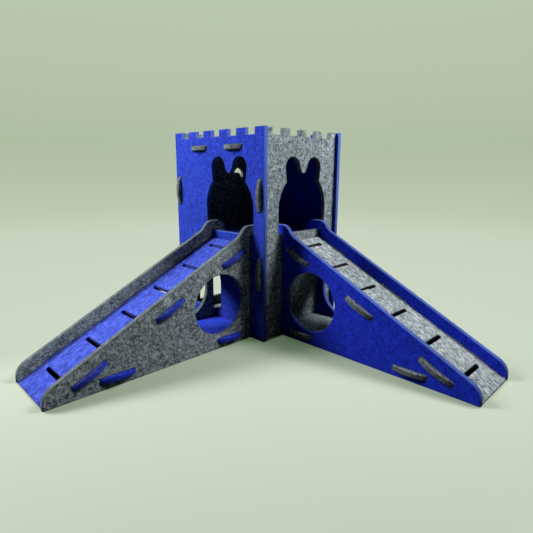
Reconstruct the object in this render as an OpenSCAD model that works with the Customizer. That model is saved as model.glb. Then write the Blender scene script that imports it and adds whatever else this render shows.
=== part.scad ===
// Felt small pet hideout: a slotted felt tower with two lift-off ramps.
// Sizes in millimetres, +Z up. The front wall faces -X and the right wall faces -Y.

/* [Felt boards] */
// Thickness of every felt board
felt_t = 5; // [3:0.5:7]
// Clearance round a tab in its slot, each side
tab_fit = 0.2; // [0.1:0.05:0.5]
// Clearance between boards that butt together
butt_gap = 0.1; // [0.05:0.05:0.3]
// How far a tab stands out of the board it passes through
tab_out = 4; // [2:0.5:6]
// Rise of a tab's bowed end
tab_bow = 3.6; // [1:0.1:4]

/* [Tower] */
// Width of the front and rear walls
wall_w = 150; // [140:1:190]
// Depth of the tower over its front and rear walls
tower_d = 123; // [112:1:160]
// Height of the door sills above the ground
sill_z = 111; // [95:1:140]
// Overhang of the front and rear walls past the side walls
overhang = 4; // [3:0.5:8]
// Felt left between the door ears and the roof plate
lintel_h = 7; // [5:0.5:15]
// Height of the walls above the roof plate
parapet_h = 15.5; // [12:0.5:30]
// Drop from the door sills to the top of the upper floor
floor_drop = 5; // [4:0.5:12]

/* [Battlements] */
// Depth of the notches between the merlons
notch_h = 7; // [5:0.5:11]
// Merlons on the front and rear walls
front_merlons = 6; // [4:1:7]
// Width of a merlon on the front and rear walls
front_merlon_w = 14; // [8:0.5:18]
// Merlons on the side walls
side_merlons = 5; // [3:1:6]
// Width of a merlon on the side walls
side_merlon_w = 10.4; // [6:0.1:15]

/* [Doors and windows] */
// Room between a ramp and the door jamb, each side
door_gap = 4.5; // [3:0.5:8]
// Felt between the right wall and the front door
front_door_jamb = 6.5; // [4:0.5:12]
// Shift of the side door from the middle of the right wall, away from the front
side_door_shift = 2; // [-5:0.5:5]
// Width of the ground-level doorway in the front wall
low_door_w = 54; // [40:1:60]
// Height of the ground-level doorway
low_door_h = 60; // [40:1:64]
// Sill of the ground-level doorway
low_door_sill = 18; // [8:1:22]
// Felt between the ground-level doorway and the left wall
low_door_jamb = 17; // [10:1:24]
// Width of the ground-level opening in the left wall
rear_door_w = 56; // [40:1:64]
// Sill of the ground-level opening in the left wall
rear_door_sill = 11; // [8:1:20]
// Radius of the crescent window in the left wall
moon_r = 7.5; // [6:0.5:13]

/* [Ramps] */
// Outside width of a ramp
ramp_w = 67; // [60:1:72]
// Length of a ramp from the wall to its tip
ramp_len = 211; // [190:1:260]
// Drop from the door sill to the slide's line at the wall
slide_drop = 7; // [4:0.1:10]
// Height of the side boards above the slide at the wall
rail_h = 12.5; // [8:0.1:15]
// How much lower the side boards are at the tip than at the wall
rail_taper = 2.5; // [0:0.1:4]
// Radius of the side boards' tip
tip_r = 15; // [10:0.5:17]
// Felt of the tip in front of the slide
tip_margin = 0; // [0:0.5:6]
// Thickness left at the slide's foot, which is cut flush with the ground
slide_foot = 1.5; // [1:0.1:3]
// Radius of the nose that passes over the sill
nose_r = 12.5; // [8:0.5:13]
// Reach of the nose behind the wall's outer face
nose_reach = 19; // [14:0.5:22]
// Length of the nose's flat top
nose_flat = 6; // [2:0.5:10]
// Height of the nose above the sill
nose_h = 10.4; // [8:0.1:13]
// Radius of the hollow between the nose and the rail
hollow_r = 16; // [8:0.5:24]
// Height of the tunnel floor above the ground
ramp_floor_z = 5.5; // [4:0.5:8]
// Felt between the tunnel hole and the wall end
tunnel_end = 9.6; // [8:0.1:20]
// Felt under the tunnel hole
tunnel_base = 14.8; // [14:0.1:22]
// Overlap of the tunnel hole on the slide's lower face
tunnel_bite = 0.6; // [0:0.1:1.5]
// Grip slots across a slide
rung_slots = 6; // [3:1:8]
// Length of a grip slot
rung_l = 34; // [20:1:36]
// Width of a grip slot
rung_w = 4; // [2:0.5:6]

/* [Running clearances] */
// Between a ramp's end and the wall it leans on
ramp_gap = 0.4; // [0.3:0.05:1]
// Between a nose and the sill under it
sill_gap = 0.4; // [0.3:0.05:1]
// Between a nose's hook and the inner face of the wall
hook_gap = 0.6; // [0.4:0.05:1.5]
// Between a nose's hook and the upper floor
hook_lift = 0.4; // [0.3:0.05:1]

/* [Tabs] */
// Length of the tabs on the side walls
wall_tab_l = 33; // [20:1:38]
// Length of the tabs on the roof plate
roof_tab_l = 28; // [20:1:36]
// Length of the tabs on the upper floor
floor_tab_l = 22; // [14:1:22]
// Length of the tabs on the slides
slide_tab_l = 32; // [20:1:38]
// Length of the tabs on the tunnel floors
tunnel_tab_l = 31; // [20:1:34]

/* [Hidden] */
$fn = 96;
BLUE = [0.15, 0.22, 0.70];
GREY = [0.45, 0.49, 0.51];

// Door outline, in shares of its width
door_w = ramp_w + 2 * door_gap;
door_r = door_w / 2;
door_body_z = 0.342 * door_w;
ear_x = 0.226 * door_w;
ear_z = 0.901 * door_w;
ear_r = 0.145 * door_w;
tongue_r = 0.0513 * door_w;
tongue_z = 0.875 * door_w;
tongue_a = atan2(ear_z - tongue_z, ear_x - ear_r) - acos(tongue_r / norm([ear_x - ear_r, ear_z - tongue_z]));
door_h = ear_z + ear_r;

// Storeys
roof_z = sill_z + door_h + lintel_h;
tower_h = roof_z + felt_t + parapet_h;
floor_top = sill_z - floor_drop;
floor_z = floor_top - felt_t;

// Inner faces of the tower
in_x0 = felt_t;
in_x1 = tower_d - felt_t;
in_y0 = overhang + felt_t;
in_y1 = wall_w - overhang - felt_t;
left_y = in_y1;
right_y = overhang;
rear_x = in_x1;

// Places of doors, windows and tabs
front_door_y = in_y0 + front_door_jamb + door_r;
side_door_x = tower_d / 2 + side_door_shift;
low_door_y = in_y1 - low_door_jamb - low_door_w / 2;
low_door_top = min(low_door_sill + low_door_h, floor_z - 8);
rear_door_x = tower_d / 2 - 10;
rear_door_top = min(rear_door_sill + low_door_h, floor_z - 8);
moon_x = tower_d / 2 + 30.5;
moon_z = sill_z + 60.5;
wall_tab_zs = [0.71 * floor_z, (floor_top + roof_z) / 2];
roof_tab_ys = [wall_w / 2 - 29, wall_w / 2 + 29];
floor_tab_front_y = front_door_y + door_r + 2 + floor_tab_l / 2;
floor_tab_xs = [tower_d / 2 - 25, tower_d / 2 + 25];

// Slide: its upper face comes down to slide_foot at slide_end
slide_line = sill_z - slide_drop;
slide_end = ramp_len - tip_margin;
ramp_a = atan2(slide_line - slide_foot, slide_end);
slide_s = ramp_gap + felt_t * sin(ramp_a);
slide_len = (slide_end - slide_s) / cos(ramp_a);
slide_z = slide_line - slide_s * tan(ramp_a);
slide_w = ramp_w - 2 * felt_t - 2 * butt_gap;
under_line = slide_line - felt_t / cos(ramp_a);
rail_line = slide_line + rail_h / cos(ramp_a);
rail_a = atan(tan(ramp_a) + rail_taper / ramp_len);
slide_tab_first = 23;
slide_tab_last = slide_len - 40;
slide_tab_us = [slide_tab_first, (slide_tab_first + slide_tab_last) / 2, slide_tab_last];
rung_first = 13;
rung_last = slide_len - 23;
rung_pitch = (rung_last - rung_first) / (rung_slots - 1);

// Side boards of a ramp
tip_s = ramp_len - tip_r;
tip_z = rail_line - tip_s * tan(rail_a) - tip_r / cos(rail_a);
nose_s = nose_r - nose_reach;
nose_z = sill_z + nose_h - nose_r;
nose_out_s = nose_s + nose_flat;
nose_sink = (rail_line - nose_out_s * tan(rail_a) - nose_z) * cos(rail_a);
hollow_run = sqrt(pow(nose_r + hollow_r, 2) - pow(hollow_r + nose_sink, 2));
hollow_s = nose_out_s + hollow_run * cos(rail_a) + (hollow_r + nose_sink) * sin(rail_a);
hollow_z = nose_z - hollow_run * sin(rail_a) + (hollow_r + nose_sink) * cos(rail_a);
hollow_share = nose_r / (nose_r + hollow_r);
hook_z = floor_top + hook_lift;
hook_s = -felt_t - hook_gap;
tunnel_rise = under_line + tunnel_bite / cos(ramp_a) - tunnel_end * tan(ramp_a) - tunnel_base;
tunnel_leg = tunnel_rise / tan(ramp_a);
tunnel_r = (tunnel_rise + tunnel_leg - norm([tunnel_rise, tunnel_leg])) / 2;

// Tunnel floor of a ramp
tunnel_floor_end = (under_line - ramp_floor_z - felt_t) / tan(ramp_a) - 1;
tunnel_floor_l = tunnel_floor_end - ramp_gap;
tunnel_tab_ss = [29, 0.84 * tunnel_floor_end];

// Middle of the whole part, so that it stands on the origin
mid_x = (tower_d + tab_out - ramp_len) / 2;
mid_y = (max(wall_w, wall_w - overhang + tab_out) + overhang - ramp_len) / 2;

// Stands a flat outline up across X, its first axis along Y
module board_yz(x) {
  translate([x, 0, 0])
    rotate([90, 0, 90])
      linear_extrude(felt_t)
        children();
}

// Stands a flat outline up across Y, its first axis along X
module board_xz(y) {
  translate([0, y + felt_t, 0])
    rotate([90, 0, 0])
      linear_extrude(felt_t)
        children();
}

// Lays a flat outline down
module board_xy(z) {
  translate([0, 0, z])
    linear_extrude(felt_t)
      children();
}

module set_down() {
  translate([-mid_x, -mid_y, 0])
    children();
}

module at_front_door() {
  translate([-mid_x, front_door_y - mid_y, 0])
    rotate([0, 0, 180])
      children();
}

module at_side_door() {
  translate([side_door_x - mid_x, right_y - mid_y, 0])
    rotate([0, 0, -90])
      children();
}

// Tab along +X from a board's edge: a straight neck, then a bowed end
module tab_2d(len) {
  neck = felt_t + butt_gap + tab_out - tab_bow;
  bow_r = (len * len / 4 + tab_bow * tab_bow) / (2 * tab_bow);
  translate([-1, -len / 2])
    square([neck + 0.5, len]);
  intersection() {
    translate([neck + tab_bow - bow_r, 0])
      circle(r = bow_r);
    translate([neck - 1, -len / 2])
      square([tab_bow + 2, len]);
  }
}

// Slot for a tab that lies flat, its lower face at y = 0
module slot_2d(len) {
  translate([-len / 2 - tab_fit, -tab_fit])
    square([len + 2 * tab_fit, felt_t + 2 * tab_fit]);
}

// Slot for a tab that stands upright, its near face at x = 0
module upright_slot_2d(len) {
  translate([-tab_fit, -len / 2 - tab_fit])
    square([felt_t + 2 * tab_fit, len + 2 * tab_fit]);
}

module battlement_2d(from, to, count, merlon_w) {
  pitch = (to - from - merlon_w) / (count - 1);
  difference() {
    translate([from, 0])
      square([to - from, tower_h]);
    for (i = [0 : count - 2])
      translate([from + merlon_w + i * pitch, tower_h - notch_h])
        square([pitch - merlon_w, notch_h + 1]);
  }
}

// Rabbit-eared doorway with a rounded tongue between its ears, the middle of its sill at the origin
module door_2d() {
  difference() {
    union() {
      translate([-door_r, 0])
        square([door_w, door_body_z]);
      translate([0, door_body_z])
        circle(r = door_r);
      polygon([
        [-ear_x - ear_r, ear_z],
        [ear_x + ear_r, ear_z],
        [0.345 * door_w, 0.704 * door_w],
        [-0.345 * door_w, 0.704 * door_w]
      ]);
      for (side = [-1, 1])
        translate([side * ear_x, ear_z])
          circle(r = ear_r);
    }
    polygon([
      [-tongue_r * cos(tongue_a), tongue_z + tongue_r * sin(tongue_a)],
      [tongue_r * cos(tongue_a), tongue_z + tongue_r * sin(tongue_a)],
      [ear_x - ear_r, ear_z],
      [ear_x - ear_r, ear_z + ear_r],
      [ear_r - ear_x, ear_z + ear_r],
      [ear_r - ear_x, ear_z]
    ]);
    translate([0, tongue_z])
      circle(r = tongue_r);
  }
}

// Round-topped opening, the middle of its sill at the origin
module arch_2d(w, h) {
  translate([-w / 2, 0])
    square([w, h - w / 2]);
  translate([0, h - w / 2])
    circle(r = w / 2);
}

module moon_2d() {
  difference() {
    circle(r = moon_r);
    translate([-0.28 * moon_r, -0.56 * moon_r])
      circle(r = 0.77 * moon_r);
  }
}

// Outline shared by the front and rear walls, with the slots for the other boards
module end_wall_2d() {
  difference() {
    battlement_2d(0, wall_w, front_merlons, front_merlon_w);
    for (y = [right_y, left_y], z = wall_tab_zs)
      translate([y, z])
        upright_slot_2d(wall_tab_l);
    for (y = roof_tab_ys)
      translate([y, roof_z])
        slot_2d(roof_tab_l);
  }
}

// Outline shared by the right and left walls, with the tabs at both ends
module side_wall_2d() {
  battlement_2d(in_x0 + butt_gap, in_x1 - butt_gap, side_merlons, side_merlon_w);
  for (z = wall_tab_zs) {
    translate([in_x1 - butt_gap, z])
      tab_2d(wall_tab_l);
    translate([in_x0 + butt_gap, z])
      mirror([1, 0])
        tab_2d(wall_tab_l);
  }
}

module front_wall() {
  color(BLUE)
    set_down()
      board_yz(0)
        difference() {
          end_wall_2d();
          translate([front_door_y, sill_z])
            door_2d();
          translate([low_door_y, low_door_sill])
            arch_2d(low_door_w, low_door_top - low_door_sill);
          translate([floor_tab_front_y, floor_z])
            slot_2d(floor_tab_l);
        }
}

module rear_wall() {
  color(BLUE)
    set_down()
      board_yz(rear_x)
        difference() {
          end_wall_2d();
          for (y = roof_tab_ys)
            translate([y, floor_z])
              slot_2d(floor_tab_l);
        }
}

module right_wall() {
  color(GREY)
    set_down()
      board_xz(right_y)
        difference() {
          side_wall_2d();
          translate([side_door_x, sill_z])
            door_2d();
        }
}

module left_wall() {
  color(GREY)
    set_down()
      board_xz(left_y)
        difference() {
          side_wall_2d();
          translate([rear_door_x, rear_door_sill])
            arch_2d(rear_door_w, rear_door_top - rear_door_sill);
          translate([moon_x, moon_z])
            moon_2d();
          for (x = floor_tab_xs)
            translate([x, floor_z])
              slot_2d(floor_tab_l);
        }
}

// Plate that fills the tower between its walls
module plate_2d() {
  translate([in_x0 + butt_gap, in_y0 + butt_gap])
    square([in_x1 - in_x0 - 2 * butt_gap, in_y1 - in_y0 - 2 * butt_gap]);
}

module roof_plate() {
  color(GREY)
    set_down()
      board_xy(roof_z) {
        plate_2d();
        for (y = roof_tab_ys) {
          translate([in_x1 - butt_gap, y])
            tab_2d(roof_tab_l);
          translate([in_x0 + butt_gap, y])
            mirror([1, 0])
              tab_2d(roof_tab_l);
        }
      }
}

module upper_floor() {
  color(BLUE)
    set_down()
      board_xy(floor_z) {
        plate_2d();
        translate([in_x0 + butt_gap, floor_tab_front_y])
          mirror([1, 0])
            tab_2d(floor_tab_l);
        for (y = roof_tab_ys)
          translate([in_x1 - butt_gap, y])
            tab_2d(floor_tab_l);
        for (x = floor_tab_xs)
          translate([x, in_y1 - butt_gap])
            rotate(90)
              tab_2d(floor_tab_l);
      }
}

// Side board of a ramp: first axis away from the wall, second axis up
module ramp_side_2d() {
  difference() {
    union() {
      polygon([
        [ramp_gap, 0],
        [ramp_len, 0],
        [ramp_len, tip_z],
        [tip_s + tip_r * sin(rail_a), tip_z + tip_r * cos(rail_a)],
        [hollow_s - hollow_r * sin(rail_a), hollow_z - hollow_r * cos(rail_a)],
        [nose_out_s + hollow_share * (hollow_s - nose_out_s), nose_z + hollow_share * (hollow_z - nose_z)],
        [nose_out_s, nose_z + nose_r],
        [nose_s, nose_z + nose_r],
        [-nose_reach, nose_z],
        [-nose_reach, hook_z],
        [ramp_gap, hook_z]
      ]);
      intersection() {
        translate([tip_s, tip_z])
          circle(r = tip_r);
        translate([tip_s, 0])
          square([tip_r + 1, tip_z + tip_r]);
      }
      for (s = [nose_s, nose_out_s])
        translate([s, nose_z])
          circle(r = nose_r);
    }
    translate([hollow_s, hollow_z])
      circle(r = hollow_r);
    translate([-nose_reach - 1, 0])
      square([nose_reach + 1 + ramp_gap, hook_z]);
    translate([hook_s, 0])
      square([ramp_gap - hook_s, sill_z + sill_gap]);
    translate([tunnel_end + tunnel_r, tunnel_base + tunnel_r])
      circle(r = tunnel_r);
    translate([slide_s, slide_z])
      rotate(-ramp_a)
        for (u = slide_tab_us)
          translate([u, -felt_t])
            slot_2d(slide_tab_l);
    for (s = tunnel_tab_ss)
      translate([s, ramp_floor_z])
        slot_2d(tunnel_tab_l);
  }
}

// Side board at one side of a ramp: +1 or -1 across it
module ramp_side(side) {
  board_xz(side * (ramp_w - felt_t) / 2 - felt_t / 2)
    ramp_side_2d();
}

// Tabs in mirrored pairs along both edges of a ramp's crosswise board
module edge_tabs_2d(places, len) {
  for (p = places, side = [0, 1])
    mirror([0, side])
      translate([p, slide_w / 2])
        rotate(90)
          tab_2d(len);
}

module rung_slot_2d() {
  translate([-rung_w / 2, -(rung_l - rung_w) / 2])
    square([rung_w, rung_l - rung_w]);
  for (side = [-1, 1])
    translate([0, side * (rung_l - rung_w) / 2])
      circle(d = rung_w);
}

// Sloping board of a ramp, its foot cut flush with the ground
module ramp_slide() {
  difference() {
    translate([slide_s, 0, slide_z])
      rotate([0, ramp_a, 0])
        board_xy(-felt_t)
          difference() {
            union() {
              translate([0, -slide_w / 2])
                square([slide_len, slide_w]);
              edge_tabs_2d(slide_tab_us, slide_tab_l);
            }
            for (i = [0 : rung_slots - 1])
              translate([rung_first + i * rung_pitch, 0])
                rung_slot_2d();
          }
    translate([slide_end - 30, -ramp_w / 2, -20])
      cube([60, ramp_w, 20]);
  }
}

module ramp_floor() {
  board_xy(ramp_floor_z) {
    translate([ramp_gap, -slide_w / 2])
      square([tunnel_floor_l, slide_w]);
    edge_tabs_2d(tunnel_tab_ss, tunnel_tab_l);
  }
}

module front_ramp_near_side() {
  color(GREY)
    at_front_door()
      ramp_side(1);
}

module front_ramp_far_side() {
  color(GREY)
    at_front_door()
      ramp_side(-1);
}

module front_ramp_slide() {
  color(BLUE)
    at_front_door()
      ramp_slide();
}

module front_ramp_floor() {
  color(BLUE)
    at_front_door()
      ramp_floor();
}

module right_ramp_near_side() {
  color(BLUE)
    at_side_door()
      ramp_side(-1);
}

module right_ramp_far_side() {
  color(BLUE)
    at_side_door()
      ramp_side(1);
}

module right_ramp_slide() {
  color(GREY)
    at_side_door()
      ramp_slide();
}

module right_ramp_floor() {
  color(GREY)
    at_side_door()
      ramp_floor();
}

front_wall();
rear_wall();
right_wall();
left_wall();
roof_plate();
upper_floor();
front_ramp_near_side();
front_ramp_far_side();
front_ramp_slide();
front_ramp_floor();
right_ramp_near_side();
right_ramp_far_side();
right_ramp_slide();
right_ramp_floor();
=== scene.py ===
"""Felt small pet hideout: a slotted felt tower with two lift-off ramps, dressed in pressed felt."""

import logging
import math
from dataclasses import dataclass, replace
from enum import Enum

import bmesh
import bpy
import numpy as np
from mathutils import Matrix, Vector, noise
from mathutils.geometry import delaunay_2d_cdt


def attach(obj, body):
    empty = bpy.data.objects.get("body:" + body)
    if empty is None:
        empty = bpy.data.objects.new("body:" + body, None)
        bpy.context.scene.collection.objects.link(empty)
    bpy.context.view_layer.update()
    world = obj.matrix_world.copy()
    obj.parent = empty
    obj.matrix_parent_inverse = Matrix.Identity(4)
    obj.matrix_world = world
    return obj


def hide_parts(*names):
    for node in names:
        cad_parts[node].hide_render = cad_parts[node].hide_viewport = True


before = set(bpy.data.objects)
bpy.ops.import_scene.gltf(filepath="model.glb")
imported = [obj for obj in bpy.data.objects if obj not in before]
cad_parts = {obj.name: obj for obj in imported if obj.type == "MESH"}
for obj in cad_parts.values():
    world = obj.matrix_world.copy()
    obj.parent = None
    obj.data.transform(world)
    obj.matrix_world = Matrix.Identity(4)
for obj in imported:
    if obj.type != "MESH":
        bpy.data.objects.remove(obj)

log = logging.getLogger("hideout")
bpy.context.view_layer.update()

Point = tuple[float, float]
Spans = tuple[Point, Point]
Loop = list[Point]
Colour = tuple[float, float, float]
Socket = bpy.types.NodeSocket
Value = float | Socket

MM = 0.001

# The felt's thickness, a tab's play in its slot, the gap where boards butt, and the door sills' height.
FELT = 5 * MM
FIT = 0.2 * MM
BUTT = 0.1 * MM
SILL = 111 * MM

# Points closer than the first are one point, and corners closer than the second are one corner of a face.
SAME_POINT = 1e-6
SAME_CORNER = 1e-7

# Mesh attributes that the materials read: 1 on a cut edge, and a fibre's own shade.
CUT_EDGE = "cut_edge"
FIBRE_SHADE = "fibre_shade"


class Body(Enum):
    """The rigid bodies that the pieces ride on."""

    TOWER = "tower"
    FRONT_RAMP = "front_ramp"
    RIGHT_RAMP = "right_ramp"


def srgb(red: int, green: int, blue: int) -> Colour:
    """A display colour as linear light.

    Args:
        red: Red from 0 to 255.
        green: Green from 0 to 255.
        blue: Blue from 0 to 255.

    Returns:
        The three linear values.
    """
    shares = (c / 255 for c in (red, green, blue))
    return tuple(c / 12.92 if c <= 0.04045 else ((c + 0.055) / 1.055) ** 2.4 for c in shares)


class NodeNet:
    """Fills a node tree with nodes and links."""

    def __init__(self, tree: bpy.types.NodeTree) -> None:
        """Keeps the tree that the nodes go into."""
        self.tree = tree

    def fill(self, node: bpy.types.Node, inputs: dict) -> None:
        """Sets or links a node's inputs.

        Args:
            node: The node.
            inputs: Input name or number to a value, or to an output socket to link.
        """
        for key, value in inputs.items():
            if isinstance(value, Socket):
                self.tree.links.new(value, node.inputs[key])
            else:
                node.inputs[key].default_value = value

    def add(self, kind: str, inputs: dict | None = None, **settings: object) -> bpy.types.Node:
        """Adds a node, with its inputs set or linked.

        Args:
            kind: The node's type name.
            inputs: What goes into it, as for fill.
            **settings: Properties of the node itself.

        Returns:
            The new node.
        """
        node = self.tree.nodes.new(kind)
        for key, value in settings.items():
            setattr(node, key, value)
        self.fill(node, inputs or {})
        return node

    def math(self, operation: str, *values: Value) -> Socket:
        """A math node's result."""
        return self.add("ShaderNodeMath", dict(enumerate(values)), operation=operation).outputs[0]

    def vector_math(self, operation: str, *values: object) -> Socket:
        """A vector math node's result, from vectors or sockets."""
        return self.add("ShaderNodeVectorMath", dict(enumerate(values)), operation=operation).outputs[0]

    def vector(self, x: Value = 0.0, y: Value = 0.0, z: Value = 0.0) -> Socket:
        """A vector from numbers or sockets."""
        return self.add("ShaderNodeCombineXYZ", {"X": x, "Y": y, "Z": z}).outputs[0]

    def weighted(self, first: Socket, second: Socket, share: float) -> Socket:
        """A share of one value and the rest of another."""
        return self.math("MULTIPLY_ADD", first, share, self.math("MULTIPLY", second, 1 - share))

    def mix(self, share: Value, first: object, second: object, **settings: object) -> Socket:
        """A colour between two others."""
        inputs = {"Factor": share, "A": first, "B": second}
        return self.add("ShaderNodeMix", inputs, data_type="RGBA", **settings).outputs["Result"]

    def ramp(self, share: Socket, stops: list[tuple[float, Colour]]) -> Socket:
        """A colour that runs through some stops.

        Args:
            share: Where on the ramp, from 0 to 1.
            stops: Place and colour of each stop, in order.

        Returns:
            The colour's socket.
        """
        node = self.add("ShaderNodeValToRGB", {"Fac": share})
        elements = node.color_ramp.elements
        elements.remove(elements[1])
        elements[0].position = stops[0][0]
        elements[0].color = (*stops[0][1], 1)
        for place, colour in stops[1:]:
            elements.new(place).color = (*colour, 1)
        return node.outputs["Color"]


def node_material(name: str) -> tuple[bpy.types.Material, NodeNet, bpy.types.Node]:
    """Starts a node material.

    Args:
        name: The material's name.

    Returns:
        The material, the net that fills it and its shader.
    """
    material = bpy.data.materials.new(name)
    material.use_nodes = True
    tree = material.node_tree
    return material, NodeNet(tree), tree.nodes["Principled BSDF"]


@dataclass(frozen=True)
class Grain:
    """A layer of noise in the felt: how much finer than the mottle, its detail, its bite and its curl."""

    fineness: float
    detail: float = 2.0
    bite: float = 0.5
    curl: float = 0.0


@dataclass(frozen=True)
class FeltFinish:
    """Pressed felt board: the colours of its fibres and how they lie and take the light."""

    slot: str
    label: str
    dark: Colour
    middle: Colour
    pale: Colour
    cut: Colour
    glint: Colour
    mottle: float
    spread: float
    sheen: float
    lie: tuple[float, float, float] = (1.0, 1.0, 1.0)
    swirl: float = 2.2
    lean: Grain = Grain(0.45)
    tufts: Grain = Grain(1.0, 6.0, 0.68, 0.5)
    wisps: Grain = Grain(3.1, 3.0, 0.6, 1.2)
    blotches: Grain = Grain(0.3)
    nap: Grain = Grain(9.0, 4.0, 0.7, 1.5)
    wisp_share: float = 0.42
    nap_share: float = 0.55
    drift_scale: float = 22.0
    drift_weight: float = 0.34
    blotch_weight: float = 0.4
    least_level: float = 0.63
    cut_share: float = 0.7
    # Painted shade: bounced light sees the felt's colour cut to this echo share, which keeps hollows and the
    # tower's inside dark.
    shade_echo: float = 0.3
    bump: float = 0.55
    bump_depth: float = 0.7 * MM
    gloss: float = 0.12
    roughness: float = 0.95
    sheen_roughness: float = 0.55
    fibre_middle: float = 0.55
    fibre_gloss: float = 0.2
    fibre_roughness: float = 0.8

    def _layer(self, net: NodeNet, place: Socket, grain: Grain, swirl: float = 1.0) -> bpy.types.NodeOutputs:
        """A noise layer at this felt's scale.

        Args:
            net: The felt's nodes.
            place: Where the noise is read.
            grain: The layer.
            swirl: What the layer's curl is multiplied by.

        Returns:
            The noise's outputs.
        """
        sizes = {"Scale": grain.fineness / self.mottle, "Detail": grain.detail, "Roughness": grain.bite}
        sizes |= {"Vector": place, "Distortion": grain.curl * swirl}
        return net.add("ShaderNodeTexNoise", sizes).outputs

    def _heather(self, net: NodeNet, share: Socket, places: tuple[float, float, float]) -> Socket:
        """The fibres' colour, from dark over middle to pale."""
        return net.ramp(share, list(zip(places, (self.dark, self.middle, self.pale))))

    def material(self) -> bpy.types.Material:
        """The felt as a node material, made once.

        Returns:
            The material of the board's faces and cut edges.
        """
        name = self.label + "_board"
        if name in bpy.data.materials:
            return bpy.data.materials[name]
        material, net, shader = node_material(name)
        place = net.vector_math("MULTIPLY", net.add("ShaderNodeTexCoord").outputs["Object"], self.lie)
        shift = net.vector_math("SUBTRACT", self._layer(net, place, self.lean)["Color"], (0.5, 0.5, 0.5))
        push = {0: shift, "Scale": self.swirl * self.mottle}
        pushed = net.add("ShaderNodeVectorMath", push, operation="SCALE").outputs[0]
        swirled = net.vector_math("ADD", place, pushed)
        tufts = self._layer(net, swirled, self.tufts, self.swirl)["Fac"]
        wisps = self._layer(net, swirled, self.wisps, self.swirl)["Fac"]
        blotches = self._layer(net, swirled, self.blotches)["Fac"]
        nap = self._layer(net, swirled, self.nap)["Fac"]
        drift = net.add("ShaderNodeTexNoise", {"Vector": place, "Scale": self.drift_scale}).outputs["Fac"]
        places = (0.5 - self.spread, 0.5, 0.5 + self.spread)
        heather = self._heather(net, net.weighted(wisps, tufts, self.wisp_share), places)
        # The cut edges take the finish's cut colour: darker on the grey felt, and on the blue felt of the
        # walls and the right ramp's sides a paler, greyer blue that is painted sheen.
        edge = net.add("ShaderNodeAttribute", attribute_name=CUT_EDGE).outputs["Fac"]
        felt = net.mix(net.math("MULTIPLY", edge, self.cut_share), heather, (*self.cut, 1))
        level = net.math("MULTIPLY_ADD", drift, self.drift_weight, self.least_level)
        level = net.math("MULTIPLY_ADD", blotches, self.blotch_weight, level)
        # Painted shade: for bounced light the felt's colour is dimmed to the echo share.
        bounced = net.add("ShaderNodeLightPath").outputs["Is Diffuse Ray"]
        level = net.math("MULTIPLY", level, net.math("MULTIPLY_ADD", bounced, self.shade_echo - 1, 1.0))
        height = net.weighted(nap, wisps, self.nap_share)
        relief = {"Strength": self.bump, "Distance": self.bump_depth, "Height": height}
        finish = {
            "Base Color": net.mix(1.0, felt, level, blend_type="MULTIPLY"),
            "Normal": net.add("ShaderNodeBump", relief).outputs["Normal"],
            "Roughness": self.roughness,
            "Specular IOR Level": self.gloss,
            "Sheen Weight": self.sheen,
            "Sheen Roughness": self.sheen_roughness,
            "Sheen Tint": (*self.glint, 1),
        }
        net.fill(shader, finish)
        return material

    def fibre_material(self) -> bpy.types.Material:
        """The single fibres that stand off the felt, each with its own shade.

        Returns:
            The fibres' material.
        """
        name = self.slot + "_fibre"
        if name in bpy.data.materials:
            return bpy.data.materials[name]
        material, net, shader = node_material(name)
        shade = net.add("ShaderNodeAttribute", attribute_name=FIBRE_SHADE).outputs["Fac"]
        finish = {
            "Base Color": self._heather(net, shade, (0.0, self.fibre_middle, 1.0)),
            "Roughness": self.fibre_roughness,
            "Specular IOR Level": self.fibre_gloss,
        }
        net.fill(shader, finish)
        return material


BLUE_FELT = FeltFinish(
    slot="blue_felt",
    label="blue",
    dark=srgb(9, 23, 134),
    middle=srgb(30, 62, 222),
    pale=srgb(66, 104, 252),
    # Painted sheen: the blue felt's cut edges are given a paler, greyer blue.
    cut=srgb(92, 119, 182),
    glint=srgb(188, 208, 255),
    mottle=3.0 * MM,
    spread=0.12,
    sheen=0.22,
)
GREY_FELT = FeltFinish(
    slot="grey_felt",
    label="grey",
    dark=srgb(50, 64, 71),
    middle=srgb(146, 162, 169),
    pale=srgb(226, 238, 243),
    cut=srgb(78, 87, 88),
    glint=srgb(220, 237, 245),
    mottle=3.4 * MM,
    spread=0.08,
    sheen=0.25,
)
# Painted shade: a darker, deeper blue copy of the blue felt for the right ramp's side boards, as shade would
# make them.
BLUE_SHADED_SIDE = replace(
    BLUE_FELT,
    label="blue_shaded_side",
    dark=srgb(3, 11, 130),
    middle=srgb(12, 42, 222),
    pale=srgb(36, 76, 252),
)
# Painted light: a brighter blue copy of the blue felt for the front ramp's tunnel floor, as the light
# through its holes would make it, with plain blue cut edges.
BLUE_LIT_INNER = replace(
    BLUE_FELT,
    label="blue_lit_inner",
    dark=srgb(11, 27, 164),
    middle=srgb(28, 63, 246),
    pale=srgb(66, 104, 255),
    cut=srgb(25, 56, 222),
)
# Painted light: a paler copy of the blue felt for the front slide, as the light on the slide would make it,
# with more sheen and a finer grain of its own.
BLUE_LIT_TREAD = replace(
    BLUE_FELT,
    label="blue_lit_tread",
    dark=srgb(8, 20, 134),
    middle=srgb(25, 56, 222),
    pale=srgb(102, 130, 246),
    cut=srgb(25, 56, 222),
    mottle=2.5 * MM,
    spread=0.09,
    sheen=0.60,
    lie=(0.4, 1.1, 0.7),
    swirl=0.7,
)
# Painted shade: a darker copy of the grey felt for the right ramp's tunnel floor, as shade would make it,
# with darker cut edges.
GREY_SHADED_INNER = replace(
    GREY_FELT,
    label="grey_shaded_inner",
    middle=srgb(126, 143, 152),
    pale=srgb(206, 220, 227),
    cut=srgb(46, 53, 56),
)
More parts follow.
